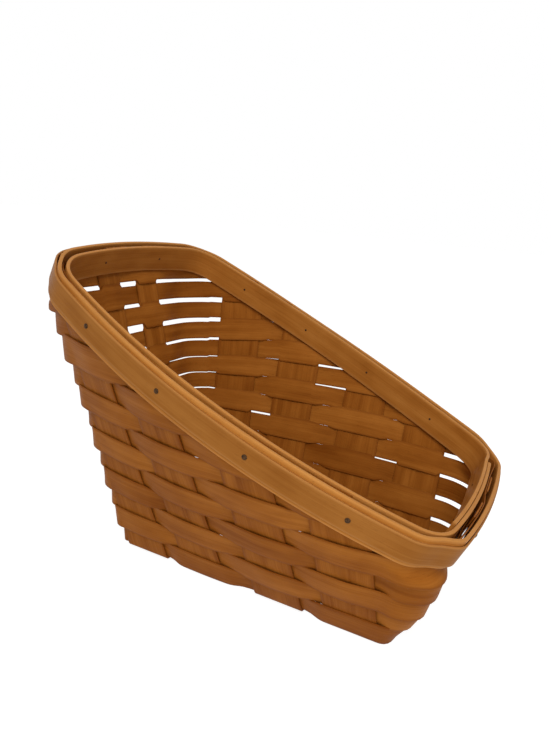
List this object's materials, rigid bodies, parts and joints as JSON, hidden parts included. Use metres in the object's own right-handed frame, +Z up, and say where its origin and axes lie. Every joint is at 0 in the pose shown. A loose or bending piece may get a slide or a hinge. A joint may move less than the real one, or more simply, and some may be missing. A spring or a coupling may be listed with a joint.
{
  "type": "woven basket",
  "caption": "Open woven splint basket with a small rectangular base, flared walls and a rim of bent wooden bands that slopes down from a tall end to a short end.",
  "frame": {"origin": "centre of the basket's footprint box, on the surface it stands on", "axes": "+Z up, +X along the length towards the short end, +Y across to the far long side"},
  "size_m": [0.3196, 0.2334, 0.2291],
  "materials": {
    "splint": "stained, satin varnish",
    "band": "stained, satin varnish",
    "tack": "darkened with age"
  },
  "bodies": {
    "root": {"cross_stake_1": "splint", "cross_stake_2": "splint", "cross_stake_3": "splint", "cross_stake_4": "splint", "long_stake_near": "splint", "long_stake_far": "splint", "weaver_row_1": "splint", "weaver_row_2": "splint", "weaver_row_3": "splint", "weaver_row_4": "splint", "weaver_row_5": "splint", "weaver_row_6": "splint", "weaver_row_7": "splint", "weaver_row_8": "splint", "weaver_row_9": "splint", "weaver_row_10": "splint", "weaver_row_11": "splint", "weaver_row_12": "splint", "weaver_row_13": "splint", "inner_band": "band", "outer_band": "band", "trim_band": "band", "tack_near_1": "tack", "tack_near_2": "tack", "tack_near_3": "tack", "tack_near_4": "tack", "tack_far_1": "tack", "tack_far_2": "tack", "tack_far_3": "tack", "tack_far_4": "tack", "tack_short_1": "tack", "tack_short_2": "tack", "tack_tall_1": "tack", "tack_tall_2": "tack"}
  },
  "joints": []
}
